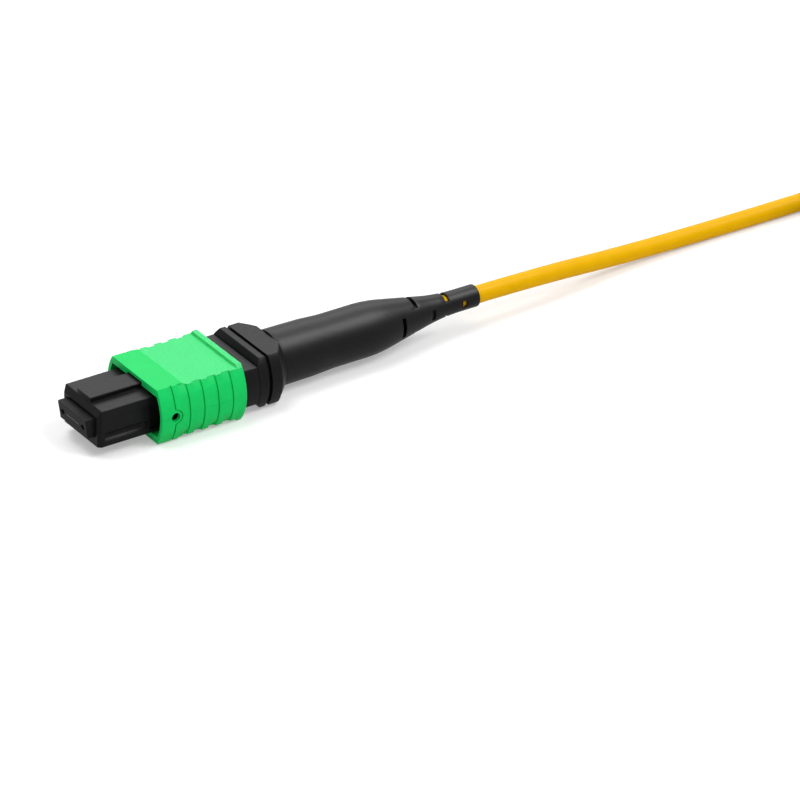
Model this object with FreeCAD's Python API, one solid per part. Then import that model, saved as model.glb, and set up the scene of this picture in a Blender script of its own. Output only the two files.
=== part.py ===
"""A multi-fibre push-on connector on a thin round patch cord.

The cord has the same connector at each end. The first one lies along X with its
ferrule towards -X, and its cord runs to +X into a tied hank. The second lies beside
the cord, in front of the hank. Millimetres, +Z up. Each piece is drawn on the connector's own axes, with x
counted back from the ferrule's face and z from the fibre axis, and is then moved so
that the origin lies on the resting surface, under the middle of the first connector.
"""
import FreeCAD, Part
import math
import os

V = FreeCAD.Vector

# ---- Driving dimensions (mm) ---------------------------------------------------

# clearances
slide_gap = 0.10        # between pieces that slide on each other
seat_gap = 0.03         # between pieces that are pushed together
coil_gap = 0.05         # at each end of a spring

# ferrule
ferrule_width = 6.4
ferrule_height = 2.5
ferrule_length = 8.0
face_angle = 8.0        # lean of the polished face, degrees
flange_width = 7.0
flange_height = 3.0
flange_length = 2.0
guide_pitch = 4.6
guide_radius = 0.35
fibre_row_width = 3.0
fibre_row_height = 0.16
rear_pocket_width = 3.6
rear_pocket_height = 1.8
rear_pocket_depth = 2.5
window_front = 2.6      # glue window in the ferrule's top
window_length = 2.0
window_width = 3.2
ferrule_travel = 0.8

# soft boot behind the ferrule, and the fibres
ferrule_boot_length = 3.9
ribbon_width = 2.9
ribbon_height = 0.30
bundle_radius = 0.36
bundle_start = 18.0
bundle_end = 33.0
ribbon_end = 12.0

# pin keeper and main spring
keeper_length = 1.5
keeper_window_width = 4.0
keeper_window_height = 2.0
main_spring_width = 5.9
main_spring_height = 2.6
main_spring_wire = 0.36
main_spring_turns = 4

# inner housing
housing_front = 1.1
housing_width = 8.5
housing_top = 2.5
housing_bottom = 2.45
lead_length = 0.5       # lead-in slope round the front
lead_drop = 0.85
lead_side = 0.4
key_width = 3.1
key_height = 0.65
key_end = 12.0
edge_break = 0.10
side_panel_front = 2.0
side_panel_rear = 7.95
side_panel_top = 1.5
side_panel_depth = 0.20
ledge_top = 1.65        # below the fibre axis
scoop_depth = 0.42
scoop_height = 1.0
latch_pocket_front = 8.35
latch_pocket_rear = 11.4
latch_pocket_low = -1.95
latch_pocket_high = 2.05
latch_pocket_depth = 0.42
stop_lug_length = 0.7   # holds the sleeve's abutments forward
stop_lug_height = 1.1
shoulder_front = 19.4
shoulder_half_height = 2.56
housing_rear = 23.1
snap_window_front = 16.5
snap_window_length = 1.6
snap_window_width = 2.8

# coupling sleeve
sleeve_front = 8.73
sleeve_length = 12.1
sleeve_side_centre = 0.26
sleeve_side_wall = 0.55
sleeve_cavity_half_height = 2.76
band_half_height = 3.70
band_length = 3.4
band_ramp = 0.5
panel_half_height = 3.47
bar_half_height = 3.89
bar_length = 0.86
sleeve_edge = 0.15
sleeve_travel = 2.0
groove_count = 5
groove_pitch = 2.03
first_groove = 1.95     # behind the sleeve's front
groove_width = 0.20
groove_depth = 0.20
scallop_length = 0.95
top_scallop_inset = 0.30   # in from the panel's edge
top_scallop_low = 2.70
bottom_scallop_inset = 0.38
bottom_scallop_low = 2.15
side_hole_radius = 0.60
side_hole_ring = 1.0
side_hole_ring_width = 0.17
side_hole_ring_depth = 0.20     # from the crown of the side
abutment_front = 3.5    # behind the sleeve's front
abutment_length = 1.15
abutment_half_height = 1.3

# sleeve springs
sleeve_spring_diameter = 1.2
sleeve_spring_wire = 0.18
sleeve_spring_turns = 7
sleeve_spring_room = 0.40       # between housing and sleeve, beyond its diameter

# back post
post_front = 15.0
post_block_width = 7.1
post_block_height = 3.1
post_slot_width = 3.6
post_slot_height = 0.9
post_slot_end = 19.0
post_bore_radius = 1.0
snap_height = 0.62
collar_radius = 5.67
collar_half_height = 3.45
flange_slope = 0.50
flange_step = 0.10
band_one_length = 1.33
neck_length = 0.44
neck_inset = 0.35
barrel_radius = 2.5
barrel_end = 31.0
barrel_groove_count = 5
barrel_groove_pitch = 0.9
barrel_groove_depth = 0.15

# boot collar
collar_length = 2.85
collar_chamfer = 1.4
collar_socket_depth = 1.8

# boot
boot_plug_radius = 3.20         # the part that fills the collar's socket
boot_radius = 3.69
boot_root_x = 33.0              # the root tapers a little, then steps to the waist
boot_root_radius = 3.62
boot_step_x = 36.0
boot_waist_x = 42.6
boot_waist_radius = 3.43
boot_tail_x = 52.6
boot_tail_radius = 1.45
boot_end = 57.9
boot_root_blend = 20.0
boot_waist_blend = 19.0
boot_tail_blend = 26.0
boot_end_round = 0.30
boot_socket_radius = 2.96
boot_socket_end = 34.5
boot_throat_end = 37.2
boot_slot_width = 0.55
boot_slot_pitch = 2.43
first_boot_slot = 45.9
boot_slots = (                  # half length and floor radius of each, from the front
    (1.30, 1.90), (2.10, 1.60), (0.65, 1.42), (1.40, 0.90), (0.42, 0.90),
)

# crimp parts and cable
yarn_thickness = 0.12
yarn_length = 5.0
crimp_front = 26.3
crimp_radius = 2.9
crimp_step_x = 33.2
crimp_tail_x = 34.0
crimp_end = 36.5
crimp_tail_radius = 1.50
cable_diameter = 2.3
jacket_wall = 0.35
jacket_front = 33.6
core_front = 29.0
core_wall = 0.30
cable_start = 50.0      # the free cable's solid starts here, inside the boot

# cord routes, from inside each boot to the hank
first_route = (
    (50.0, 0.0, 0.0), (66.0, 0.0, 0.0), (84.0, 2.7, -2.74), (114.0, 2.35, -2.74),
    (143.0, 3.3, -2.74), (170.0, 4.9, -2.74), (190.0, 5.2, -2.5),
)
far_bends = ((168.5, -8.0, 0.0), (180.0, -13.28, 0.0), (191.5, -13.28, 0.0))
far_boot_end = 163.9
far_y = -8.0            # of the far connector's axis

# hank of the cord's spare length
hank_x = 188.0          # where its straight runs start
hank_run = 28.0
hank_fold_radius = 6.9  # of the inner turns
turn_pitch = 2.34
hank_columns = 2
hank_layers = 4
hank_play = 0.05        # round the turns
hank_edge = 0.9
hank_lift = 0.35
tie_thickness = 0.25
tie_width = 3.2
tie_spacing = 16.0

# ---- Worked out from them ------------------------------------------------------

cable_radius = cable_diameter / 2
jacket_bore = cable_radius - jacket_wall
core_radius = jacket_bore - 0.02
boot_bore = cable_radius + 0.06
flange_front = ferrule_length - flange_length
flange_bore_width = flange_width + 2 * slide_gap
flange_bore_height = flange_height + 2 * slide_gap
keeper_front = ferrule_length + seat_gap
keeper_rear = keeper_front + keeper_length
key_top = housing_top + key_height
sleeve_rear = sleeve_front + sleeve_length
cavity_crown = housing_width / 2 + sleeve_spring_diameter + sleeve_spring_room
cavity_radius = cavity_crown - sleeve_side_centre
sleeve_side_radius = cavity_radius + sleeve_side_wall
shoulder_radius = cavity_radius - 2 * slide_gap
band_one_rear = housing_rear + band_one_length
collar_front = band_one_rear + neck_length
collar_rear = collar_front + collar_length
sleeve_spring_front = sleeve_front + abutment_front + abutment_length + coil_gap
sleeve_spring_rear = shoulder_front - coil_gap
sleeve_spring_y = housing_width / 2 + sleeve_spring_diameter / 2 + slide_gap
face_lean = ferrule_height / 2 * math.tan(math.radians(face_angle))
origin_x = (boot_end - face_lean) / 2
axis_height = bar_half_height
far_shift = V(far_boot_end - boot_end, far_y, 0)
floor_z = -axis_height
hank_outer_turn = hank_fold_radius + (hank_columns - 1) * turn_pitch
hank_y = first_route[-1][1] - hank_outer_turn
hank_outer = hank_outer_turn + cable_radius + hank_play
hank_inner = hank_fold_radius - cable_radius - hank_play
hank_low = floor_z + hank_lift
hank_high = hank_low + (hank_layers - 1) * turn_pitch + cable_diameter + 2 * hank_play
beyond = 30.0           # past every outline, for cutting tools


# ---- Shape helpers -------------------------------------------------------------

def box(x0, x1, y0, y1, z0, z1):
    return Part.makeBox(x1 - x0, y1 - y0, z1 - z0, V(x0, y0, z0))


def centred_box(x0, x1, width, height):
    return box(x0, x1, -width / 2, width / 2, -height / 2, height / 2)


def rod(x0, x1, radius):
    return Part.makeCylinder(radius, x1 - x0, V(x0, 0, 0), V(1, 0, 0))


def tube(x0, x1, radius, bore):
    return rod(x0, x1, radius).cut(rod(x0 - 1, x1 + 1, bore))


def along_x(points_yz, x0, x1):
    wire = Part.makePolygon([V(x0, y, z) for y, z in points_yz + points_yz[:1]])
    return Part.Face(wire).extrude(V(x1 - x0, 0, 0))


def along_y(points_xz, y0, y1):
    wire = Part.makePolygon([V(x, y0, z) for x, z in points_xz + points_xz[:1]])
    return Part.Face(wire).extrude(V(0, y1 - y0, 0))


def along_z(points_xy, z0, z1):
    wire = Part.makePolygon([V(x, y, z0) for x, y in points_xy + points_xy[:1]])
    return Part.Face(wire).extrude(V(0, 0, z1 - z0))


def mirrored_y(shape):
    return shape.mirror(V(0, 0, 0), V(0, 1, 0))


def mirrored_z(shape):
    return shape.mirror(V(0, 0, 0), V(0, 0, 1))


def both_sides(shape):
    return [shape, mirrored_y(shape)]


def top_and_bottom(shape):
    return [shape, mirrored_z(shape)]


def bowed(x0, x1, half_height, radius, centre):
    """A bar with flat top and bottom and sides bowed out to arcs of one radius."""
    corner = centre + math.sqrt(radius ** 2 - half_height ** 2)
    crown = centre + radius
    corners = [V(x0, y, z) for y, z in (
        (-corner, half_height), (corner, half_height),
        (corner, -half_height), (-corner, -half_height))]
    edges = [
        Part.makeLine(corners[0], corners[1]),
        Part.Arc(corners[1], V(x0, crown, 0), corners[2]).toShape(),
        Part.makeLine(corners[2], corners[3]),
        Part.Arc(corners[3], V(x0, -crown, 0), corners[0]).toShape(),
    ]
    return Part.Face(Part.Wire(edges)).extrude(V(x1 - x0, 0, 0))


def edges_at_x(shape, x):
    return [e for e in shape.Edges if all(abs(v.X - x) < 1e-6 for v in e.Vertexes)]


def coil_spring(x0, x1, width, height, wire, turns, facets, sides):
    """A round or oval compression spring along X, as a faceted bar with closed ends."""
    rise = x1 - x0 - wire
    steps = turns * facets
    rings = []
    for i in range(steps + 1):
        angle = 2 * math.pi * i / facets
        x = x0 + wire / 2 + rise * i / steps
        outward = V(0, math.cos(angle), math.sin(angle))
        middle = V(x, (width - wire) / 2 * outward.y, (height - wire) / 2 * outward.z)
        ring = []
        for k in range(sides):
            around = 2 * math.pi * k / sides
            ring.append(middle + outward * (wire / 2 * math.cos(around))
                        + V(wire / 2 * math.sin(around), 0, 0))
        rings.append(ring)
    faces = []
    for near, far in zip(rings, rings[1:]):
        for k in range(sides):
            n = (k + 1) % sides
            faces.append(Part.Face(Part.makePolygon([near[k], near[n], far[n], near[k]])))
            faces.append(Part.Face(Part.makePolygon([near[k], far[n], far[k], near[k]])))
    for ring in (rings[0], rings[-1]):
        faces.append(Part.Face(Part.makePolygon(ring + ring[:1])))
    solid = Part.Solid(Part.Shell(faces))
    if solid.Volume < 0:
        solid.reverse()
    return solid


# ---- Ferrule group -------------------------------------------------------------

def make_ferrule():
    half = ferrule_height / 2
    body = along_y([(-face_lean, half), (ferrule_length, half),
                    (ferrule_length, -half), (face_lean, -half)],
                   -ferrule_width / 2, ferrule_width / 2)
    body = body.fuse(centred_box(flange_front, ferrule_length, flange_width, flange_height))
    cuts = [centred_box(ferrule_length - rear_pocket_depth, ferrule_length + 1,
                        rear_pocket_width, rear_pocket_height),
            centred_box(-1, ferrule_length, fibre_row_width, fibre_row_height),
            box(window_front, window_front + window_length,
                -window_width / 2, window_width / 2, 0, half + 1)]
    for y in (-guide_pitch / 2, guide_pitch / 2):
        hole = Part.makeCylinder(guide_radius, ferrule_length + 2, V(-1, y, 0), V(1, 0, 0))
        cuts.append(hole)
    return body.cut(cuts).removeSplitter()


def make_ferrule_boot():
    front = ferrule_length - rear_pocket_depth + seat_gap
    boot = centred_box(front, front + ferrule_boot_length,
                       rear_pocket_width - 2 * seat_gap, rear_pocket_height - 2 * seat_gap)
    return boot.cut(centred_box(front - 1, front + ferrule_boot_length + 1,
                                ribbon_width + 2 * seat_gap, ribbon_height + 2 * seat_gap))


def make_fibre_ribbon():
    tip_width = fibre_row_width - 2 * seat_gap
    tip_height = fibre_row_height - 2 * seat_gap
    ribbon_front = ferrule_length - rear_pocket_depth + seat_gap
    lean = tip_height / 2 * math.tan(math.radians(face_angle))
    tip = along_y([(-lean, tip_height / 2), (ribbon_front, tip_height / 2),
                   (ribbon_front, -tip_height / 2), (lean, -tip_height / 2)],
                  -tip_width / 2, tip_width / 2)
    flat = centred_box(ribbon_front, ribbon_end, ribbon_width, ribbon_height)
    gather = Part.makeLoft([
        Part.makePolygon([V(ribbon_end, y, z) for y, z in rectangle(ribbon_width, ribbon_height)]),
        Part.makePolygon([V(bundle_start, y, z) for y, z in rectangle(
            2 * bundle_radius, 2 * bundle_radius)])], True, True)
    bundle = centred_box(bundle_start, bundle_end, 2 * bundle_radius * 0.7,
                         2 * bundle_radius * 0.7).fuse(rod(bundle_start, bundle_end, bundle_radius))
    return tip.fuse([flat, gather, bundle]).removeSplitter()


def rectangle(width, height):
    corners = [(-width / 2, -height / 2), (width / 2, -height / 2),
               (width / 2, height / 2), (-width / 2, height / 2)]
    return corners + corners[:1]


def make_pin_keeper():
    plate = centred_box(keeper_front, keeper_rear, flange_width, flange_height)
    cuts = [centred_box(keeper_front - 1, keeper_rear + 1,
                        keeper_window_width, keeper_window_height)]
    for y in (-guide_pitch / 2, guide_pitch / 2):
        cuts.append(Part.makeCylinder(guide_radius, keeper_length + 2,
                                      V(keeper_front - 1, y, 0), V(1, 0, 0)))
    return plate.cut(cuts)


def make_main_spring():
    return coil_spring(keeper_rear + coil_gap, post_front - coil_gap, main_spring_width,
                       main_spring_height, main_spring_wire, main_spring_turns, 16, 5)


# ---- Inner housing -------------------------------------------------------------

def housing_lead_cuts():
    """Slopes round the front that guide the connector into its adapter."""
    x0, x1 = housing_front, housing_front + lead_length
    side = housing_width / 2
    top = along_y([(x0 - 1, housing_top - lead_drop), (x0, housing_top - lead_drop),
                   (x1, housing_top), (x1, beyond), (x0 - 1, beyond)], -beyond, beyond)
    flank = along_z([(x0 - 1, side - lead_side), (x0, side - lead_side),
                     (x1, side), (x1, beyond), (x0 - 1, beyond)], -beyond, beyond)
    return [top] + both_sides(flank)


def housing_side_cuts():
    side = housing_width / 2
    panel = side - side_panel_depth
    scoop = side - scoop_depth
    scoop_top = -ledge_top + scoop_height
    upright = Part.makeLine(V(side_panel_front, side + 1, side_panel_top),
                            V(side_panel_front, panel, side_panel_top))
    edges = [
        upright,
        Part.makeLine(V(side_panel_front, panel, side_panel_top),
                      V(side_panel_front, panel, scoop_top)),
        Part.Arc(V(side_panel_front, panel, scoop_top),
                 V(side_panel_front, scoop, -ledge_top + scoop_height / 3),
                 V(side_panel_front, side, -ledge_top)).toShape(),
        Part.makeLine(V(side_panel_front, side, -ledge_top),
                      V(side_panel_front, side + 1, -ledge_top)),
        Part.makeLine(V(side_panel_front, side + 1, -ledge_top),
                      V(side_panel_front, side + 1, side_panel_top)),
    ]
    recess = Part.Face(Part.Wire(edges)).extrude(V(side_panel_rear - side_panel_front, 0, 0))
    pocket = box(latch_pocket_front, latch_pocket_rear, side - latch_pocket_depth, side + 1,
                 latch_pocket_low, latch_pocket_high)
    return both_sides(recess) + both_sides(pocket)


def make_inner_housing():
    side = housing_width / 2
    e = edge_break
    body = along_x([(-side, -housing_bottom + e), (-side, housing_top - e),
                    (-side + e, housing_top), (side - e, housing_top),
                    (side, housing_top - e), (side, -housing_bottom + e),
                    (side - e, -housing_bottom), (-side + e, -housing_bottom)],
                   housing_front, shoulder_front + 0.5)
    key = along_x([(-key_width / 2, 0), (-key_width / 2, key_top - e),
                   (-key_width / 2 + e, key_top), (key_width / 2 - e, key_top),
                   (key_width / 2, key_top - e), (key_width / 2, 0)],
                  housing_front + lead_length, key_end)
    body = body.cut(housing_lead_cuts())
    rear = bowed(shoulder_front, housing_rear, shoulder_half_height,
                 shoulder_radius, sleeve_side_centre)
    lug_rear = sleeve_front + abutment_front - seat_gap
    lug = centred_box(lug_rear - stop_lug_length, lug_rear,
                      housing_width + 2 * stop_lug_height, 2 * abutment_half_height)
    body = body.fuse([key, rear, lug])
    slot = centred_box(housing_front - 1, housing_rear + 1,
                       ferrule_width + 2 * slide_gap, ferrule_height + 2 * slide_gap)
    flange_bore = centred_box(flange_front - seat_gap, housing_rear + 1,
                              flange_bore_width, flange_bore_height)
    window = box(snap_window_front, snap_window_front + snap_window_length,
                 -snap_window_width / 2, snap_window_width / 2, 0, housing_top + 1)
    cuts = [slot, flange_bore] + top_and_bottom(window) + housing_side_cuts()
    return body.cut(cuts).removeSplitter()


# ---- Coupling sleeve -----------------------------------------------------------

def sleeve_step_cuts():
    """Front band, lower panel and rear bar, on the top and on the bottom."""
    band_end = sleeve_front + band_length
    bar_front = sleeve_rear - bar_length
    high = bar_half_height + 1
    profile = [(sleeve_front - 1, band_half_height), (band_end, band_half_height),
               (band_end + band_ramp, panel_half_height), (bar_front, panel_half_height),
               (bar_front, high), (sleeve_front - 1, high)]
    return top_and_bottom(along_y(profile, -beyond, beyond))


def sleeve_groove_cuts():
    """The grooves between the side ribs, stopped round the side hole."""
    bed = sleeve_side_radius - groove_depth
    hole_x = sleeve_front + first_groove
    cuts = []
    for i in range(groove_count):
        middle = sleeve_front + first_groove + i * groove_pitch
        x0, x1 = middle - groove_width / 2, middle + groove_width / 2
        slab = box(x0, x1, sleeve_side_radius / 2, beyond, -beyond, beyond)
        core = Part.makeCylinder(bed, x1 - x0 + 1, V(x0 - 0.5, sleeve_side_centre, 0), V(1, 0, 0))
        groove = slab.cut(core)
        if i == 0:
            groove = groove.cut(Part.makeCylinder(side_hole_ring, beyond,
                                                   V(hole_x, 0, 0), V(0, 1, 0)))
        cuts += both_sides(groove)
    return cuts


def sleeve_scallop_cuts():
    """Finger flats on the rear half of each rib, at the four long corners."""
    corner = sleeve_side_centre + math.sqrt(sleeve_side_radius ** 2 - panel_half_height ** 2)
    cuts = []
    for i in range(groove_count - 1):
        x1 = sleeve_front + first_groove + (i + 1) * groove_pitch - groove_width / 2
        for inset, low, upright in ((top_scallop_inset, top_scallop_low, 1),
                                    (bottom_scallop_inset, bottom_scallop_low, -1)):
            low_y = sleeve_side_centre + math.sqrt(sleeve_side_radius ** 2 - low ** 2)
            outline = [(corner - inset, panel_half_height), (low_y, low), (beyond, low),
                       (beyond, beyond), (corner - inset, beyond)]
            flat = along_x([(y, upright * z) for y, z in outline], x1 - scallop_length, x1)
            cuts += both_sides(flat)
    return cuts


def sleeve_hole_cuts():
    hole_x = sleeve_front + first_groove
    ring_bed = sleeve_side_centre + sleeve_side_radius - side_hole_ring_depth
    hole = Part.makeCylinder(side_hole_radius, beyond, V(hole_x, 0, 0), V(0, 1, 0))
    outer = Part.makeCylinder(side_hole_ring, beyond, V(hole_x, ring_bed, 0), V(0, 1, 0))
    inner = Part.makeCylinder(side_hole_ring - side_hole_ring_width, beyond,
                              V(hole_x, ring_bed, 0), V(0, 1, 0))
    rear_half = box(hole_x, hole_x + 2 * side_hole_ring, 0, beyond, -beyond, beyond)
    ring = outer.cut(inner).common(rear_half)
    return both_sides(hole) + both_sides(ring)


def sleeve_cavity():
    cavity = bowed(sleeve_front - 1, sleeve_rear + 1, sleeve_cavity_half_height,
                   cavity_radius, sleeve_side_centre)
    x0 = sleeve_front + abutment_front
    inner = housing_width / 2 + slide_gap
    abutment = box(x0, x0 + abutment_length, inner, beyond,
                   -abutment_half_height, abutment_half_height)
    cavity = cavity.cut(both_sides(abutment))
    keyway = box(sleeve_front - 1, key_end + 2 * slide_gap,
                 -key_width / 2 - slide_gap, key_width / 2 + slide_gap,
                 0, key_top + slide_gap)
    return [cavity, keyway]


def make_coupling_sleeve():
    body = bowed(sleeve_front, sleeve_rear, bar_half_height,
                 sleeve_side_radius, sleeve_side_centre)
    body = body.makeChamfer(sleeve_edge, edges_at_x(body, sleeve_rear))
    body = body.cut(sleeve_step_cuts())
    cuts = sleeve_groove_cuts() + sleeve_scallop_cuts() + sleeve_hole_cuts()
    return body.cut(cuts).cut(sleeve_cavity()).removeSplitter()


def make_sleeve_spring():
    spring = coil_spring(sleeve_spring_front, sleeve_spring_rear, sleeve_spring_diameter,
                         sleeve_spring_diameter, sleeve_spring_wire,
                         sleeve_spring_turns, 10, 4)
    spring.translate(V(0, -sleeve_spring_y, 0))
    return spring


# ---- Back post and collar ------------------------------------------------------

def make_back_post():
    block = centred_box(post_front, housing_rear, post_block_width, post_block_height)
    tab_front = snap_window_front + slide_gap
    tab_rear = snap_window_front + snap_window_length - seat_gap
    half = post_block_height / 2
    tab = along_y([(tab_front, half - 0.1), (tab_rear, half - 0.1),
                   (tab_rear, half + snap_height), (tab_rear - 0.4, half + snap_height)],
                  -snap_window_width / 2 + slide_gap, snap_window_width / 2 - slide_gap)
    x0 = housing_rear
    foot = shoulder_half_height + flange_step
    flange = bowed(x0, band_one_rear, collar_half_height, collar_radius, 0)
    slope = along_y([(x0 - 1, foot), (x0, foot), (x0 + flange_slope, collar_half_height),
                     (x0 + flange_slope, beyond), (x0 - 1, beyond)], -beyond, beyond)
    flange = flange.cut(top_and_bottom(slope))
    neck = bowed(band_one_rear, collar_front, collar_half_height - neck_inset,
                 collar_radius - neck_inset, 0)
    barrel = rod(collar_front, barrel_end, barrel_radius)
    body = block.fuse(top_and_bottom(tab) + [flange, neck, barrel])
    cuts = [centred_box(post_front - 1, post_slot_end, post_slot_width, post_slot_height),
            rod(post_slot_end - 1, barrel_end + 1, post_bore_radius)]
    for i in range(barrel_groove_count):
        x = barrel_end - (i + 1) * barrel_groove_pitch
        cuts.append(tube(x, x + barrel_groove_pitch / 2, barrel_radius + 1,
                         barrel_radius - barrel_groove_depth))
    return body.cut(cuts).removeSplitter()


def make_boot_collar():
    body = bowed(collar_front, collar_rear, collar_half_height, collar_radius, 0)
    nose = rod(collar_front, collar_rear - collar_chamfer, collar_radius + 1).fuse(
        Part.makeCone(collar_radius, collar_radius - collar_chamfer, collar_chamfer,
                      V(collar_rear - collar_chamfer, 0, 0), V(1, 0, 0)))
    bore = rod(collar_front - 1, collar_rear + 1, barrel_radius + seat_gap)
    socket = rod(collar_rear - collar_socket_depth, collar_rear + 1,
                 boot_plug_radius + seat_gap)
    return body.common(nose).cut([bore, socket]).removeSplitter()


# ---- Boot ----------------------------------------------------------------------

def rounded_profile(points, radii):
    """Edges through the points, with an arc of the given radius at each inner point."""
    edges = []
    start = points[0]
    for before, corner, after, radius in zip(points, points[1:], points[2:], radii):
        back = (before - corner).normalize()
        ahead = (after - corner).normalize()
        half_turn = (math.pi - back.getAngle(ahead)) / 2
        reach = radius * math.tan(half_turn)
        entry = corner + back * reach
        leave = corner + ahead * reach
        bisector = (back + ahead).normalize()
        middle = corner + bisector * (radius / math.cos(half_turn) - radius)
        edges.append(Part.makeLine(start, entry))
        edges.append(Part.Arc(entry, middle, leave).toShape())
        start = leave
    edges.append(Part.makeLine(start, points[-1]))
    return edges


def boot_slot_cuts():
    """Slots by turns in the sides and in the top and bottom, so that the boot bends."""
    cuts = []
    for i, (reach, floor) in enumerate(boot_slots):
        x0 = first_boot_slot + i * boot_slot_pitch - boot_slot_width / 2
        x1 = x0 + boot_slot_width
        if i % 2 == 0:
            cuts += both_sides(box(x0, x1, floor, beyond, -reach, reach))
        else:
            cuts += top_and_bottom(box(x0, x1, -reach, reach, floor, beyond))
    return cuts


def make_boot():
    front = collar_rear - collar_socket_depth + seat_gap
    shoulder = collar_rear + seat_gap
    outline = [V(shoulder, 0, boot_radius), V(boot_root_x, 0, boot_root_radius),
               V(boot_step_x, 0, boot_waist_radius), V(boot_waist_x, 0, boot_waist_radius),
               V(boot_tail_x, 0, boot_tail_radius), V(boot_end, 0, boot_tail_radius),
               V(boot_end, 0, boot_bore)]
    end_round = min(boot_end_round, (boot_tail_radius - boot_bore) * 0.9)
    edges = rounded_profile(outline, [boot_root_blend, boot_root_blend, boot_waist_blend,
                                      boot_tail_blend, end_round])
    inside = [V(boot_end, 0, boot_bore), V(boot_throat_end, 0, boot_bore),
              V(boot_socket_end, 0, boot_socket_radius), V(front, 0, boot_socket_radius),
              V(front, 0, boot_plug_radius), V(shoulder, 0, boot_plug_radius),
              V(shoulder, 0, boot_radius)]
    edges += [Part.makeLine(a, b) for a, b in zip(inside, inside[1:])]
    body = Part.Face(Part.Wire(edges)).revolve(V(0, 0, 0), V(1, 0, 0), 360)
    return body.cut(boot_slot_cuts()).removeSplitter()


# ---- Crimp parts and the cable inside the boot ---------------------------------

def make_aramid_yarn():
    front = collar_rear - collar_socket_depth + seat_gap
    inner = barrel_radius + seat_gap
    return tube(front, front + yarn_length, inner + yarn_thickness, inner)


def make_crimp_ring():
    bore = barrel_radius + 2 * seat_gap + yarn_thickness
    grip = cable_radius + seat_gap
    outer = [V(crimp_front, 0, bore), V(crimp_front, 0, crimp_radius),
             V(crimp_step_x, 0, crimp_radius), V(crimp_tail_x, 0, crimp_tail_radius),
             V(crimp_end, 0, crimp_tail_radius), V(crimp_end, 0, grip),
             V(crimp_tail_x - 0.2, 0, grip), V(crimp_step_x - 0.2, 0, bore)]
    wire = Part.makePolygon(outer + outer[:1])
    return Part.Face(wire).revolve(V(0, 0, 0), V(1, 0, 0), 360)


def make_cable_core():
    return tube(core_front, cable_start, core_radius, core_radius - core_wall)


def make_jacket_end():
    return tube(jacket_front, cable_start, cable_radius, jacket_bore)


# ---- Free cord -----------------------------------------------------------------

def cord_tube(points, label):
    """Straight runs joined by tangent arcs, each as large as its two runs allow."""
    nodes = [V(*p) for p in points]
    edges, start, radii = [], nodes[0], []
    for before, corner, after in zip(nodes, nodes[1:], nodes[2:]):
        back = (before - corner)
        ahead = (after - corner)
        reach = 0.45 * min(back.Length, ahead.Length)
        half_turn = (math.pi - back.getAngle(ahead)) / 2
        radius = reach / math.tan(half_turn)
        radii.append(radius)
        back.normalize()
        ahead.normalize()
        entry = corner + back * reach
        leave = corner + ahead * reach
        bisector = (back + ahead).normalize()
        middle = corner + bisector * (radius / math.cos(half_turn) - radius)
        edges.append(Part.makeLine(start, entry))
        edges.append(Part.Arc(entry, middle, leave).toShape())
        start = leave
    edges.append(Part.makeLine(start, nodes[-1]))
    path = Part.Wire(edges)
    ring = Part.Wire(Part.makeCircle(cable_radius, nodes[0], nodes[1] - nodes[0]))
    solid = path.makePipeShell([ring], True, True)
    expected = math.pi * cable_radius ** 2 * path.Length
    print(label, "length %.1f" % path.Length, "radii", ["%.0f" % r for r in radii],
          "volume ratio %.4f" % (solid.Volume / expected), solid.isValid())
    return solid


def racetrack(radius, z0, z1):
    """A prism whose outline is two straight runs joined by half circles."""
    x0, x1 = hank_x, hank_x + hank_run
    corners = [V(x, hank_y + side * radius, z0) for x, side in (
        (x0, 1), (x1, 1), (x1, -1), (x0, -1))]
    edges = [
        Part.makeLine(corners[0], corners[1]),
        Part.Arc(corners[1], V(x1 + radius, hank_y, z0), corners[2]).toShape(),
        Part.makeLine(corners[2], corners[3]),
        Part.Arc(corners[3], V(x0 - radius, hank_y, z0), corners[0]).toShape(),
    ]
    return Part.Face(Part.Wire(edges)).extrude(V(0, 0, z1 - z0))


def make_cable_coil():
    """The outer shape of the wound turns: a hollow oval with rounded edges."""
    body = racetrack(hank_outer, hank_low, hank_high)
    body = body.cut(racetrack(hank_inner, hank_low - 1, hank_high + 1))
    rims = [e for e in body.Edges if e.BoundBox.ZLength < 0.01]
    return body.makeFillet(hank_edge, rims)


def hank_wrap(x, width, growth):
    """A plate across the hank, with its outline grown by the given amount."""
    plate = Part.makeBox(width, 2 * (hank_outer + growth), hank_high - hank_low + 2 * growth,
                         V(x - width / 2, hank_y - hank_outer - growth, hank_low - growth))
    long_edges = [e for e in plate.Edges if e.BoundBox.XLength > width / 2]
    return plate.makeFillet(hank_edge + growth, long_edges)


def make_coil_tie(x):
    """A soft strap wrapped once round both sides of the hank."""
    return hank_wrap(x, tie_width, tie_thickness).cut(hank_wrap(x, 2 * tie_width, 0))


def far_route():
    return [(cable_start + far_shift.x, far_y, 0.0)] + list(far_bends)


# ---- Assembly ------------------------------------------------------------------

def connector_pieces():
    spring = make_sleeve_spring()
    return {
        "ferrule": make_ferrule(),
        "ferrule_boot": make_ferrule_boot(),
        "fibre_ribbon": make_fibre_ribbon(),
        "pin_keeper": make_pin_keeper(),
        "main_spring": make_main_spring(),
        "inner_housing": make_inner_housing(),
        "coupling_sleeve": make_coupling_sleeve(),
        "sleeve_spring_near": spring,
        "sleeve_spring_rear": mirrored_y(spring),
        "back_post": make_back_post(),
        "boot_collar": make_boot_collar(),
        "boot": make_boot(),
        "aramid_yarn": make_aramid_yarn(),
        "crimp_ring": make_crimp_ring(),
        "cable_core": make_cable_core(),
        "jacket_end": make_jacket_end(),
    }


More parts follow.
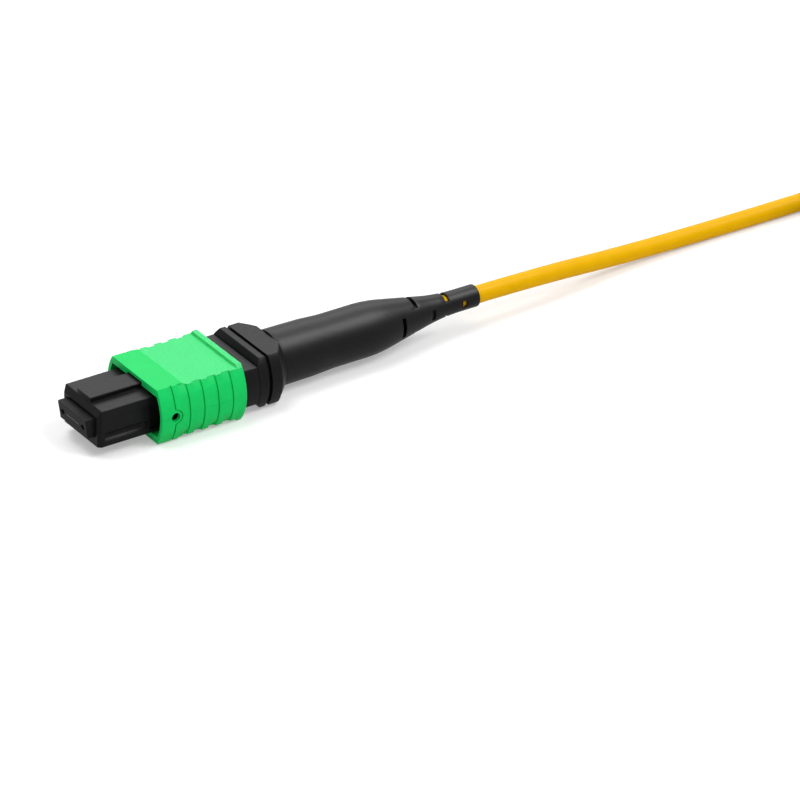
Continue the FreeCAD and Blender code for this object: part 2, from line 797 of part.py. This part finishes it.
def cord_pieces():
    return {
        "cable_tube": cord_tube(first_route, "cable_tube"),
        "cable_coil": make_cable_coil(),
        "far_cable_tube": cord_tube(far_route(), "far_cable_tube"),
        "coil_tie_front": make_coil_tie(hank_x + (hank_run - tie_spacing) / 2),
        "coil_tie_back": make_coil_tie(hank_x + (hank_run + tie_spacing) / 2),
    }


def main():
    os.makedirs("parts", exist_ok=True)
    pieces = connector_pieces()
    pieces.update({"far_" + name: shape.translated(far_shift)
                   for name, shape in connector_pieces().items()})
    pieces.update(cord_pieces())
    for name, shape in pieces.items():
        placed = shape.translated(V(-origin_x, 0, axis_height))
        if len(placed.Solids) == 1:
            placed = placed.Solids[0]
        placed.exportStep("parts/" + name + ".step")
        print(name, "valid", placed.isValid(), "solids", len(placed.Solids),
              "volume %.2f" % placed.Volume)


main()
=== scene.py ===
import bpy
import math
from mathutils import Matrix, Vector


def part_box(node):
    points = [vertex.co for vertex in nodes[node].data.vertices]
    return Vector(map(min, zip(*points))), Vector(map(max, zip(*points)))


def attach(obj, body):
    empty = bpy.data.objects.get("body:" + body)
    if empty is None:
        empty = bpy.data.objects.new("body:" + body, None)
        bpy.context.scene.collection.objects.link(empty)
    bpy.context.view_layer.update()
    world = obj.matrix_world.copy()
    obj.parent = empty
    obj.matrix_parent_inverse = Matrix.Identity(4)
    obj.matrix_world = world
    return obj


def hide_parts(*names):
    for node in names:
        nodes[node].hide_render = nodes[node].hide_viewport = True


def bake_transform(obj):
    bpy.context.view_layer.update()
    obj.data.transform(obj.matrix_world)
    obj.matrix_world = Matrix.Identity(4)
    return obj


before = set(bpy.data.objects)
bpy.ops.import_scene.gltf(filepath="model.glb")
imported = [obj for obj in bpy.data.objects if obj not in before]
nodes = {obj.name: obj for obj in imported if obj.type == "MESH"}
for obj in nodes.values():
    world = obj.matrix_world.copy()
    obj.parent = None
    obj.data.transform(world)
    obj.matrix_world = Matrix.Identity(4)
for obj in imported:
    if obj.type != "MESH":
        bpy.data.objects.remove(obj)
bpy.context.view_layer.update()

mm = 0.001
bootEnd = 57.9  # x is counted from the ferrule's face, y and z from the connector's axis
farBegins = bootEnd + 2  # past this x, a surface belongs to the far connector
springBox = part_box("sleeve_spring_near")  # the sleeve's springs lie as high as the axis
axisHeight = (springBox[0].z + springBox[1].z) / 2
axisOrigin = Vector((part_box("boot")[1].x - bootEnd * mm, 0, axisHeight))
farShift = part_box("far_boot")[1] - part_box("boot")[1]


def onAxis(x, y=0.0, z=0.0):
    return axisOrigin + Vector((x, y, z)) * mm


def newObject(name, data):
    piece = bpy.data.objects.new(name, data)
    bpy.context.scene.collection.objects.link(piece)
    return piece


def giveMaterial(piece, material):
    piece.data.materials.clear()
    piece.data.materials.append(material)


def selectOnly(piece):
    bpy.ops.object.select_all(action="DESELECT")
    piece.select_set(True)
    bpy.context.view_layer.objects.active = piece


# every material is built from these few nodes, on the piece's own Object coordinates

def newMaterial(name):
    material = bpy.data.materials.new(name)
    material.use_nodes = True
    material.node_tree.nodes.clear()
    return material


def showSurface(tree, surface):
    output = tree.nodes.new("ShaderNodeOutputMaterial")
    tree.links.new(surface, output.inputs["Surface"])


def objectPlace(tree, stretch=(1, 1, 1)):
    # millimetres from the connector's axis origin
    coordinate = tree.nodes.new("ShaderNodeTexCoord")
    mapping = tree.nodes.new("ShaderNodeMapping")
    mapping.inputs["Location"].default_value = [
        -origin / mm * share for origin, share in zip(axisOrigin, stretch)]
    mapping.inputs["Scale"].default_value = [share / mm for share in stretch]
    tree.links.new(coordinate.outputs["Object"], mapping.inputs["Vector"])
    return mapping.outputs["Vector"]


def mathNode(tree, operation, first, second=0.0):
    node = tree.nodes.new("ShaderNodeMath")
    node.operation = operation
    for socket, value in zip(node.inputs, (first, second)):
        if isinstance(value, (int, float)):
            socket.default_value = value
        else:
            tree.links.new(value, socket)
    return node.outputs[0]


def within(tree, value, limit):
    return mathNode(tree, "LESS_THAN", mathNode(tree, "ABSOLUTE", value), limit)


def connectorPlace(tree):
    # along, across and up in millimetres, each connector from its own origin
    split = tree.nodes.new("ShaderNodeSeparateXYZ")
    tree.links.new(objectPlace(tree), split.inputs[0])
    far = mathNode(tree, "GREATER_THAN", split.outputs["X"], farBegins)
    place = {"Z": split.outputs["Z"]}
    for axis, shift in zip("XY", farShift):
        farPart = mathNode(tree, "MULTIPLY", far, shift / mm)
        place[axis] = mathNode(tree, "SUBTRACT", split.outputs[axis], farPart)
    return place


def noise(tree, place, scale, detail, roughness=0.5):
    texture = tree.nodes.new("ShaderNodeTexNoise")
    texture.inputs["Scale"].default_value = scale
    texture.inputs["Detail"].default_value = detail
    texture.inputs["Roughness"].default_value = roughness
    tree.links.new(place, texture.inputs["Vector"])
    return texture.outputs["Fac"]


def remap(tree, value, fromLow, fromHigh, toLow=0.0, toHigh=1.0):
    span = tree.nodes.new("ShaderNodeMapRange")
    for socket, number in zip(("From Min", "From Max", "To Min", "To Max"),
                              (fromLow, fromHigh, toLow, toHigh)):
        span.inputs[socket].default_value = number
    tree.links.new(value, span.inputs["Value"])
    return span.outputs["Result"]


def blendColour(tree, factor, first, second):
    mix = tree.nodes.new("ShaderNodeMix")
    mix.data_type = "RGBA"
    # sockets 6 and 7 take the two colours, and output 2 gives their blend
    for socket, colour in zip(mix.inputs[6:8], (first, second)):
        if isinstance(colour, tuple):
            socket.default_value = (*colour, 1)
        else:
            tree.links.new(colour, socket)
    tree.links.new(factor, mix.inputs["Factor"])
    return mix.outputs[2]


def bump(tree, shader, height, distance):
    node = tree.nodes.new("ShaderNodeBump")
    node.inputs["Distance"].default_value = distance
    tree.links.new(height, node.inputs["Height"])
    tree.links.new(node.outputs["Normal"], shader.inputs["Normal"])


# how fine each noise is and the part of its range that counts, the same on every surface
surfaceLook = {
    "cloudDetail": 4, "cloudRange": (0.3, 0.7),
    "grainDetail": 2, "grainBite": 0.6, "grainRange": (0.3, 0.7),
    "hairlineDetail": 6, "hairlineBite": 0.7, "hairlineRange": (0.60, 0.72),
    "rubScale": 0.13, "rubDetail": 2, "rubRange": (0.45, 0.65), "scuffRoughness": 0.12,
}


def scuffMask(tree, place, scale, look):
    # fine hairlines inside a few rubbed spots, as handling leaves
    hairlines = noise(tree, place, scale, look["hairlineDetail"], look["hairlineBite"])
    rubs = noise(tree, place, scale * look["rubScale"], look["rubDetail"])
    return mathNode(tree, "MULTIPLY", remap(tree, hairlines, *look["hairlineRange"]),
                    remap(tree, rubs, *look["rubRange"]))


def plasticMaterial(name, look, stretch=(1, 1, 1)):
    material = newMaterial(name)
    tree = material.node_tree
    shader = tree.nodes.new("ShaderNodeBsdfPrincipled")
    showSurface(tree, shader.outputs["BSDF"])
    place = objectPlace(tree, stretch)

    cloud = noise(tree, place, look["cloudScale"], surfaceLook["cloudDetail"])
    cloud = remap(tree, cloud, *surfaceLook["cloudRange"])
    colour = blendColour(tree, cloud, look["deepColour"], look["colour"])
    scuff = scuffMask(tree, place, look["scuffScale"], surfaceLook)
    scuffShare = mathNode(tree, "MULTIPLY", scuff, look["scuffShare"])
    colour = blendColour(tree, scuffShare, colour, look["scuffColour"])
    tree.links.new(colour, shader.inputs["Base Color"])

    grain = noise(tree, place, look["grainScale"], surfaceLook["grainDetail"],
                  surfaceLook["grainBite"])
    rough = remap(tree, grain, *surfaceLook["grainRange"],
                  look["roughness"] - look["roughnessSpread"],
                  look["roughness"] + look["roughnessSpread"])
    scuffRough = mathNode(tree, "MULTIPLY", scuff, surfaceLook["scuffRoughness"])
    tree.links.new(mathNode(tree, "ADD", rough, scuffRough), shader.inputs["Roughness"])
    shader.inputs["Specular IOR Level"].default_value = look["specular"]
    bump(tree, shader, grain, look["grainDepth"] * mm)
    return {"material": material, "tree": tree, "shader": shader, "colour": colour, "grain": grain}


blackPlasticLook = {
    "colour": (0.0058, 0.0058, 0.0061), "deepColour": (0.0045, 0.0045, 0.0048), "cloudScale": 0.5,
    "grainScale": 14.0, "grainDepth": 0.004, "roughness": 0.42, "roughnessSpread": 0.05,
    "specular": 0.08, "scuffScale": 3.0, "scuffShare": 0.3, "scuffColour": (0.02, 0.02, 0.021),
}
blackPlastic = plasticMaterial("blackPlastic", blackPlasticLook)["material"]

ferruleLook = {
    "colour": (0.015, 0.015, 0.0155), "deepColour": (0.012, 0.012, 0.0125), "cloudScale": 0.8,
    "grainScale": 20.0, "grainDepth": 0.002, "roughness": 0.42, "roughnessSpread": 0.04,
    "specular": 0.03, "scuffScale": 5.0, "scuffShare": 0.3, "scuffColour": (0.05, 0.05, 0.05),
}
ferruleResin = plasticMaterial("ferruleResin", ferruleLook)["material"]

bootLook = {
    "colour": (0.0040, 0.0040, 0.0043), "deepColour": (0.0030, 0.0030, 0.0032), "cloudScale": 0.4,
    "grainScale": 10.0, "grainDepth": 0.006, "roughness": 0.42, "roughnessSpread": 0.04,
    "specular": 0.12, "scuffScale": 2.2, "scuffShare": 0.3, "scuffColour": (0.018, 0.018, 0.019),
}
softBoot = plasticMaterial("softBoot", bootLook)["material"]

jacketLook = {
    "colour": (0.79, 0.425, 0.0012), "deepColour": (0.75, 0.40, 0.001), "cloudScale": 0.4,
    "grainScale": 8.0, "grainDepth": 0.004, "roughness": 0.36, "roughnessSpread": 0.05,
    "specular": 0.03, "scuffScale": 1.6, "scuffShare": 0.2, "scuffColour": (0.80, 0.50, 0.03),
}
yellowJacket = plasticMaterial("yellowJacket", jacketLook)["material"]

strapLook = {
    "colour": (0.020, 0.020, 0.021), "deepColour": (0.008, 0.008, 0.009), "cloudScale": 9.0,
    "grainScale": 22.0, "grainDepth": 0.05, "roughness": 0.75, "roughnessSpread": 0.1,
    "specular": 0.2, "scuffScale": 4.0, "scuffShare": 0.4, "scuffColour": (0.05, 0.05, 0.05),
}
strapCloth = plasticMaterial("strapCloth", strapLook)["material"]

yarnLook = {
    "colour": (0.80, 0.62, 0.16), "deepColour": (0.62, 0.45, 0.09), "cloudScale": 2.0,
    "grainScale": 9.0, "grainDepth": 0.05, "roughness": 0.6, "roughnessSpread": 0.1,
    "specular": 0.35, "scuffScale": 6.0, "scuffShare": 0.3, "scuffColour": (0.9, 0.75, 0.3),
    "strands": (0.12, 1, 1),  # its noise is drawn out along the cord
}
goldYarn = plasticMaterial("goldYarn", yarnLook, yarnLook["strands"])["material"]

steelLook = {
    "colour": (0.62, 0.62, 0.62), "deepColour": (0.5, 0.5, 0.51), "cloudScale": 2.0,
    "grainScale": 30.0, "grainDepth": 0.002, "roughness": 0.28, "roughnessSpread": 0.08,
    "specular": 0.5, "scuffScale": 6.0, "scuffShare": 0.4, "scuffColour": (0.4, 0.39, 0.38),
}
steelFinish = plasticMaterial("springSteel", steelLook)
steelFinish["shader"].inputs["Metallic"].default_value = 1.0
springSteel = steelFinish["material"]

sleeveLook = {
    "colour": (0.011, 0.62, 0.132), "deepColour": (0.009, 0.58, 0.122), "cloudScale": 0.5,
    "grainScale": 12.0, "grainDepth": 0.005, "roughness": 0.38, "roughnessSpread": 0.04,
    "specular": 0.04, "scuffScale": 3.0, "scuffShare": 0.25, "scuffColour": (0.10, 0.80, 0.30),
    "grainSway": 0.16,  # how far the roughness follows the grain
    "panelFrom": (12.4, 12.55), "panelAbove": (3.35, 3.43),  # in millimetres along and off the axis
    # the panel's paler colour is painted sheen, on the flat top and bottom faces behind the band
    "panelSheenColour": (0.085, 0.71, 0.235), "panelSheenShare": (0.7, 1.0), "panelRoughness": 0.5,
    "panelGrainScale": 4.0, "panelGrainDetail": 2, "panelGrainBite": 0.7,
    "panelGrainRange": (0.35, 0.65), "panelGrainDepth": 0.10,
    "seamWidth": 0.09, "seamHeight": 0.04,
}


def addSleeveFinishAndSheen(finish, look):
    # the panel between band and pull bar is grained and painted paler as sheen, the band is smooth,
    # and the mould's parting line runs along the sides
    tree, shader = finish["tree"], finish["shader"]
    place = connectorPlace(tree)
    offAxis = mathNode(tree, "ABSOLUTE", place["Z"])
    panel = mathNode(tree, "MULTIPLY", remap(tree, place["X"], *look["panelFrom"]),
                     remap(tree, offAxis, *look["panelAbove"]))
    panelGrain = noise(tree, objectPlace(tree), look["panelGrainScale"],
                       look["panelGrainDetail"], look["panelGrainBite"])
    # painted sheen: the panel's colour is made paler, speckled by its grain
    paintedSheen = remap(tree, panelGrain, *look["panelGrainRange"], *look["panelSheenShare"])
    paintedSheen = mathNode(tree, "MULTIPLY", panel, paintedSheen)
    colour = blendColour(tree, paintedSheen, finish["colour"], look["panelSheenColour"])
    tree.links.new(colour, shader.inputs["Base Color"])

    rough = remap(tree, panel, 0, 1, look["roughness"], look["panelRoughness"])
    sway = mathNode(tree, "MULTIPLY", mathNode(tree, "SUBTRACT", finish["grain"], 0.5),
                    look["grainSway"])
    tree.links.new(mathNode(tree, "ADD", rough, sway), shader.inputs["Roughness"])

    height = mathNode(tree, "MULTIPLY", finish["grain"], look["grainDepth"])
    for mask, depth in ((mathNode(tree, "MULTIPLY", panelGrain, panel), look["panelGrainDepth"]),
                        (within(tree, place["Z"], look["seamWidth"] / 2), look["seamHeight"])):
        height = mathNode(tree, "ADD", height, mathNode(tree, "MULTIPLY", mask, depth))
    bump(tree, shader, height, mm)


sleeveFinish = plasticMaterial("greenPlastic", sleeveLook)
addSleeveFinishAndSheen(sleeveFinish, sleeveLook)
greenPlastic = sleeveFinish["material"]

fibreLook = {
    "colour": (0.75, 0.76, 0.74), "deepColour": (0.6, 0.62, 0.6), "cloudScale": 3.0,
    "grainScale": 30.0, "grainDepth": 0.001, "roughness": 0.22, "roughnessSpread": 0.05,
    "specular": 0.3, "scuffScale": 6.0, "scuffShare": 0.1, "scuffColour": (0.5, 0.5, 0.5),
    "pitch": 0.25, "radius": 0.065, "rowWidth": 3.0,  # twelve fibres in the row
    "faceReach": 0.3,  # the leaning face lies this near x = 0
    "resinColour": (0.02, 0.02, 0.021), "endColour": (0.12, 0.12, 0.125),
}


def addFibreRow(finish, look):
    # the fibres' ends, each round in its own cell of the row, in resin, flush in the face
    tree = finish["tree"]
    place = connectorPlace(tree)
    cell = mathNode(tree, "FRACT", mathNode(tree, "DIVIDE", place["Y"], look["pitch"]))
    sideways = mathNode(tree, "MULTIPLY", mathNode(tree, "SUBTRACT", cell, 0.5), look["pitch"])
    squares = [mathNode(tree, "POWER", side, 2.0) for side in (sideways, place["Z"])]
    distance = mathNode(tree, "SQRT", mathNode(tree, "ADD", *squares))
    fibreEnd = mathNode(tree, "LESS_THAN", distance, look["radius"])
    inRow = within(tree, place["Y"], look["rowWidth"] / 2)
    onFace = within(tree, place["X"], look["faceReach"])
    mask = mathNode(tree, "MULTIPLY", fibreEnd, mathNode(tree, "MULTIPLY", inRow, onFace))
    colour = blendColour(tree, onFace, finish["colour"], look["resinColour"])
    colour = blendColour(tree, mask, colour, look["endColour"])
    tree.links.new(colour, finish["shader"].inputs["Base Color"])


fibreFinish = plasticMaterial("clearFibre", fibreLook)
addFibreRow(fibreFinish, fibreLook)
clearFibre = fibreFinish["material"]
print("materials made")


viewLook = {
    "target": (0.00478, -0.02046, 0.00593), "azimuth": -32.957, "elevation": 29.124,
    "distance": 0.962, "lens": 360.0, "sensor": 36.0, "clipStart": 0.01,
}


def makeCamera(look):
    camera = bpy.data.cameras.new("camera")
    camera.lens = look["lens"]
    camera.sensor_width = look["sensor"]
    camera.clip_start = look["clipStart"]
    holder = newObject("camera", camera)
    turn, tilt = math.radians(look["azimuth"]), math.radians(look["elevation"])
    back = Vector((math.sin(turn) * math.cos(tilt), -math.cos(turn) * math.cos(tilt),
                   math.sin(tilt)))
    holder.location = Vector(look["target"]) + back * look["distance"]
    holder.rotation_euler = back.to_track_quat("Z", "Y").to_euler()
    bpy.context.scene.camera = holder


makeCamera(viewLook)
print("camera placed")


# the cord in millimetres on the connector's axis: its route, the hank's turns, and the far route
cordLook = {"diameter": 2.3, "length": 1.0, "splineOrder": 3, "splineSteps": 6, "roundSteps": 6}
cordRoute = [
    (50.0, 0.0, 0.0), (66.0, 0.0, 0.0), (84.0, 2.7, -2.74), (114.0, 2.35, -2.74),
    (143.0, 3.3, -2.74), (170.0, 4.9, -2.74),
]
farRoute = [
    (191.5, -13.28, 0.0), (180.0, -13.28, 0.0), (168.5, -8.0, 0.0), (156.0, -8.0, 0.0),
]
hankLook = {
    "start": 188.0, "run": 28.0, "middle": -4.04, "foldPoints": 7,
    "radii": (6.9, 9.24),  # of the inner and the outer column of turns
    "lowest": -2.34, "pitch": 2.34,  # height of the lowest layer, and from layer to layer
    "turns": ((1, 0), (0, 0), (0, 1), (0, 2), (0, 3), (1, 3), (1, 2), (1, 1)),  # column, layer
    # each turn leans over to the next one's place in the near fold: the share of the fold
    # where that starts, and the share that it takes
    "leanStarts": (0.39, 0.26, 0.26, 0.26, 0.13, 0.0, 0.0), "lean": 0.61,
}


def turnSection(look, column, layer):
    # radius and height of a turn
    inner, outer = look["radii"]
    return inner + (outer - inner) * column, look["lowest"] + look["pitch"] * layer


def leaningSection(look, turn, share):
    # radius and height on the way to the next turn, after this share of the near fold
    way = min(1.0, max(0.0, (share - look["leanStarts"][turn]) / look["lean"]))
    blend = (1 - math.cos(math.pi * way)) / 2
    places = zip(look["turns"][turn], look["turns"][turn + 1])
    return turnSection(look, *[now * (1 - blend) + later * blend for now, later in places])


def hankPoints(look):
    # a fold's control points stand a little outside its circle, which the spline then follows
    points = []
    step = math.pi / look["foldPoints"]
    swell = 1 / math.cos(step / 2)
    nearEnd, farEnd = look["start"], look["start"] + look["run"]

    def addFoldPoint(x, angle, radius, height):
        points.append((x + radius * swell * math.cos(angle),
                       look["middle"] + radius * swell * math.sin(angle), height))

    for turn, place in enumerate(look["turns"]):
        radius, height = turnSection(look, *place)
        reach = radius * math.tan(step / 2)
        straight = (nearEnd + reach, nearEnd + look["run"] / 2, farEnd - reach)
        points += [(x, look["middle"] + radius, height) for x in straight]
        for i in range(look["foldPoints"]):
            addFoldPoint(farEnd, math.pi / 2 - (i + 0.5) * step, radius, height)
        points += [(x, look["middle"] - radius, height) for x in reversed(straight)]
        if turn == len(look["turns"]) - 1:
            return points[1:-1]  # the routes come in where the hank's first and last point were
        for i in range(look["foldPoints"]):
            share = (i + 0.5) / look["foldPoints"]
            angle = -math.pi / 2 - share * math.pi
            addFoldPoint(nearEnd, angle, *leaningSection(look, turn, share))


def makeCord(look):
    points = cordRoute + hankPoints(hankLook) + farRoute
    curve = bpy.data.curves.new("patch_cord", "CURVE")
    curve.dimensions = "3D"
    curve.bevel_depth = look["diameter"] * mm / 2
    curve.bevel_resolution = look["roundSteps"]
    curve.use_fill_caps = True
    spline = curve.splines.new("NURBS")
    spline.points.add(len(points) - 1)
    for point, place in zip(spline.points, points):
        point.co = (*onAxis(*place), 1)
    spline.order_u = look["splineOrder"]
    spline.use_endpoint_u = True
    spline.resolution_u = look["splineSteps"]
    return newObject("patch_cord", curve)


cord = makeCord(cordLook)
giveMaterial(cord, yellowJacket)
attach(cord, "connector")
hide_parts("cable_tube", "cable_coil", "far_cable_tube")
print("cord laid")


# a moulded piece keeps its solid's shape and gets the small edge rounding of its mould, over
# stretches along the connector: from, to, and the least height off its axis, in millimetres
wholePiece = ((-1, 60, 0),)
copyLook = {
    "coupling_sleeve": {"edge": 0.05, "rounded": ((8.6, 9.0, 0), (19.8, 21.0, 0)),
                        "material": greenPlastic, "slot": "sleeve", "body": "sleeve"},
    "inner_housing": {"edge": 0.07, "rounded": wholePiece,
                      "material": blackPlastic, "slot": "housing", "body": ""},
    "ferrule": {"edge": 0.06, "rounded": wholePiece,
                "material": ferruleResin, "slot": "ferrule", "body": "ferrule_group"},
    "back_post": {"edge": 0.07, "rounded": wholePiece,
                  "material": blackPlastic, "slot": "housing", "body": ""},
    "boot_collar": {"edge": 0.07, "rounded": wholePiece,
                    "material": blackPlastic, "slot": "housing", "body": ""},
    "boot": {"edge": 0.05, "rounded": wholePiece,
             "material": softBoot, "slot": "soft_boot", "body": ""},
}
softenLook = {  # weld in millimetres, angles in degrees
    "weld": 0.0001, "flatAngle": 0.5, "edgeAngle": 30, "edgeSegments": 2, "smoothAngle": 35,
}


def keepRounded(piece, shift, stretches):
    # of the selected edges, only those inside a stretch stay selected
    mesh = piece.data
    places = [(vertex.co - axisOrigin - shift) / mm for vertex in mesh.vertices]

    def inside(place, low, high, height):
        return low < place.x < high and abs(place.z) >= height

    kept = set()
    for edge in mesh.edges:
        ends = [places[i] for i in edge.vertices]
        if edge.select and any(all(inside(end, *stretch) for end in ends) for stretch in stretches):
            kept.add(edge.index)
    for part in (*mesh.vertices, *mesh.polygons):
        part.select = False  # or edit mode would select its edges again
    for edge in mesh.edges:
        edge.select = edge.index in kept


def softenedCopy(node, shift, stretches, edgeWidth, look):
    piece = newObject(node + "_dressed", nodes[node].data.copy())
    selectOnly(piece)
    bpy.ops.mesh.customdata_custom_splitnormals_clear()
    bpy.ops.object.mode_set(mode="EDIT")
    bpy.ops.mesh.select_mode(type="EDGE")
    bpy.ops.mesh.select_all(action="SELECT")
    bpy.ops.mesh.remove_doubles(threshold=look["weld"] * mm)
    bpy.ops.mesh.dissolve_limited(angle_limit=math.radians(look["flatAngle"]))
    bpy.ops.mesh.select_all(action="DESELECT")
    bpy.ops.mesh.edges_select_sharp(sharpness=math.radians(look["edgeAngle"]))
    bpy.ops.object.mode_set(mode="OBJECT")
    keepRounded(piece, shift, stretches)
    bpy.ops.object.mode_set(mode="EDIT")
    bpy.ops.mesh.bevel(offset=edgeWidth * mm, segments=look["edgeSegments"], affect="EDGES",
                       clamp_overlap=False)
    bpy.ops.object.mode_set(mode="OBJECT")
    bpy.ops.object.shade_smooth_by_angle(angle=math.radians(look["smoothAngle"]))
    flats = piece.modifiers.new("flatFaces", "WEIGHTED_NORMAL")
    flats.keep_sharp = True
    bpy.ops.object.modifier_apply(modifier=flats.name)
    return piece


for node, look in copyLook.items():
    for prefix in ("", "far_"):
        shift = farShift if prefix else Vector((0, 0, 0))
        piece = softenedCopy(prefix + node, shift, look["rounded"], look["edge"], softenLook)
        giveMaterial(piece, look["material"])
        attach(piece, prefix + look["body"] if look["body"] else "connector")
        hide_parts(prefix + node)
print("moulded pieces dressed")

# what pushes each spring's front end
springLook = {
    "main_spring": "ferrule_group", "sleeve_spring_near": "sleeve", "sleeve_spring_rear": "sleeve",
}
for node, pusher in springLook.items():
    for prefix in ("", "far_"):
        spring = newObject(prefix + node + "_wire", nodes[prefix + node].data.copy())
        giveMaterial(spring, springSteel)
        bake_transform(spring)
        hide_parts(prefix + node)

nodeMaterial = {
    "ferrule_boot": softBoot, "fibre_ribbon": clearFibre, "pin_keeper": springSteel,
    "aramid_yarn": goldYarn, "crimp_ring": springSteel, "cable_core": clearFibre,
    "jacket_end": yellowJacket,
}
keptNodes = [(prefix + node, material) for node, material in nodeMaterial.items()
             for prefix in ("", "far_")]
keptNodes += [("coil_tie_front", strapCloth), ("coil_tie_back", strapCloth)]
for node, material in keptNodes:
    giveMaterial(nodes[node], material)
print("inner pieces given their materials")


floorLook = {
    "size": 4.0, "colour": (0.74, 0.74, 0.74), "glow": 0.33,
    "farGlow": 0.75, "glowRise": (0.25, 0.9),  # over these distances in metres it pales to white
}
# a lamp's size in metres and power in watts; shineOnly lamps show only in what mirrors them
lightLook = {
    "worldLight": 0.48, "worldShine": 1.0, "aim": (0.02, -0.01, 0),
    "lamps": {
        "keySoftbox": {"place": (0.20, -0.30, 0.48), "size": 0.24, "power": 1.5,
                       "shineOnly": False},
        "topSoftbox": {"place": (-0.12, 0.13, 0.61), "size": 0.34, "power": 2.0,
                       "shineOnly": False},
        "backCard": {"place": (0.30, 0.43, 0.50), "size": 0.5, "power": 3.7, "shineOnly": True},
        "sideCard": {"place": (0.30, -0.13, 0.53), "size": 0.3, "power": 6.2, "shineOnly": True},
    },
}


def shineRays(tree):
    # camera, glossy and transmission rays, which show the backdrop without lighting the object
    rays = tree.nodes.new("ShaderNodeLightPath")
    mirrored = mathNode(tree, "MAXIMUM", rays.outputs["Is Glossy Ray"],
                        rays.outputs["Is Transmission Ray"])
    return mathNode(tree, "MAXIMUM", rays.outputs["Is Camera Ray"], mirrored)


def makeFloor(look):
    bpy.ops.object.select_all(action="DESELECT")
    bpy.ops.mesh.primitive_plane_add(size=look["size"])
    floor = bpy.context.object
    floor.name = "floor"
    material = newMaterial("paleFloor")
    tree = material.node_tree
    matte = tree.nodes.new("ShaderNodeBsdfDiffuse")
    matte.inputs["Color"].default_value = (*look["colour"], 1)
    glow = tree.nodes.new("ShaderNodeEmission")
    coordinate = tree.nodes.new("ShaderNodeTexCoord")
    reach = tree.nodes.new("ShaderNodeVectorMath")
    reach.operation = "LENGTH"
    tree.links.new(coordinate.outputs["Object"], reach.inputs[0])
    paling = remap(tree, reach.outputs["Value"], *look["glowRise"], look["glow"], look["farGlow"])
    tree.links.new(mathNode(tree, "MULTIPLY", shineRays(tree), paling), glow.inputs["Strength"])
    both = tree.nodes.new("ShaderNodeAddShader")
    tree.links.new(matte.outputs["BSDF"], both.inputs[0])
    tree.links.new(glow.outputs["Emission"], both.inputs[1])
    showSurface(tree, both.outputs["Shader"])
    giveMaterial(floor, material)


def makeLamp(name, look, aim):
    lamp = bpy.data.lights.new(name, "AREA")
    lamp.shape = "SQUARE"
    lamp.size = look["size"]
    lamp.energy = look["power"]
    holder = newObject(name, lamp)
    holder.location = look["place"]
    holder.visible_diffuse = not look["shineOnly"]
    ray = Vector(aim) - Vector(look["place"])
    holder.rotation_euler = ray.to_track_quat("-Z", "Y").to_euler()


def makeWorld(look):
    world = bpy.data.worlds.new("studio")
    world.use_nodes = True
    tree = world.node_tree
    background = tree.nodes["Background"]
    background.inputs["Color"].default_value = (1, 1, 1, 1)
    strength = remap(tree, shineRays(tree), 0, 1, look["worldLight"], look["worldShine"])
    tree.links.new(strength, background.inputs["Strength"])
    bpy.context.scene.world = world


makeFloor(floorLook)
makeWorld(lightLook)
for name, look in lightLook["lamps"].items():
    makeLamp(name, look, lightLook["aim"])
bpy.context.scene.view_settings.view_transform = "Standard"
print("stage set")
